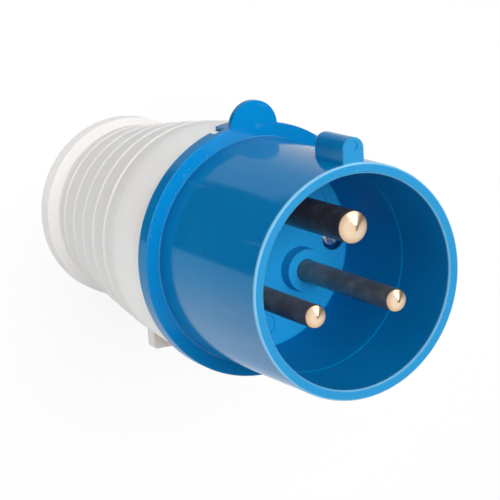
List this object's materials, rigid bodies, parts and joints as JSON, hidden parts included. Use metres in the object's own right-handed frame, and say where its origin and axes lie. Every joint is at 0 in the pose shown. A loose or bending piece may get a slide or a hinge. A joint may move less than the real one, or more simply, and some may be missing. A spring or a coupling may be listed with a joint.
{
  "type": "industrial pin and sleeve plug",
  "caption": "Industrial pin and sleeve plug: round shrouded sleeve with key rib and finger tab, contact pins, ringed tapered handle and cord gland.",
  "frame": {"origin": "on the plug's axis in the plane of the gland nut's end face, which the plug stands on", "axes": "+Z along the axis towards the mouth of the sleeve; +X from the axis to the key rib, the finger tab and the earth pin"},
  "size_m": [0.0624, 0.0574, 0.109],
  "materials": {
    "blue_plastic": "glossy moulded polyamide",
    "white_plastic": "satin off-white moulded plastic",
    "carrier_plastic": "satin light grey plastic",
    "clamp_plastic": "satin pale plastic",
    "pin_brass": "turned brass, shank blackened and cone end bare",
    "plated_steel": "bright plated steel",
    "black_rubber": "matt black rubber"
  },
  "bodies": {
    "plug": {"sleeve": "blue_plastic", "contact_carrier": "carrier_plastic", "earth_pin": "pin_brass", "line_pin": "pin_brass", "neutral_pin": "pin_brass", "earth_terminal_screw": "plated_steel", "line_terminal_screw": "plated_steel", "neutral_terminal_screw": "plated_steel", "fixing_screw_right": "plated_steel", "fixing_screw_left": "plated_steel", "seal_ring": "black_rubber", "handle": "white_plastic", "clamp_fingers": "clamp_plastic", "rubber_bush": "black_rubber"},
    "pressure_ring": {"pressure_ring": "clamp_plastic"},
    "gland_nut": {"gland_nut": "white_plastic"}
  },
  "joints": [
    {"name": "ring_slide", "type": "slide", "parent": "plug", "child": "pressure_ring", "axis": [0, 0, -1], "range_m": [0, 0.0025]},
    {"name": "nut_turn", "type": "hinge", "parent": "pressure_ring", "child": "gland_nut", "pos_m": [0, 0, 0.0035], "axis": [0, 0, -1], "range_deg": [0, 288]}
  ],
  "couplings": [
    {"joint": "ring_slide", "follows": "nut_turn", "m_per_rad": 0.00047746}
  ]
}
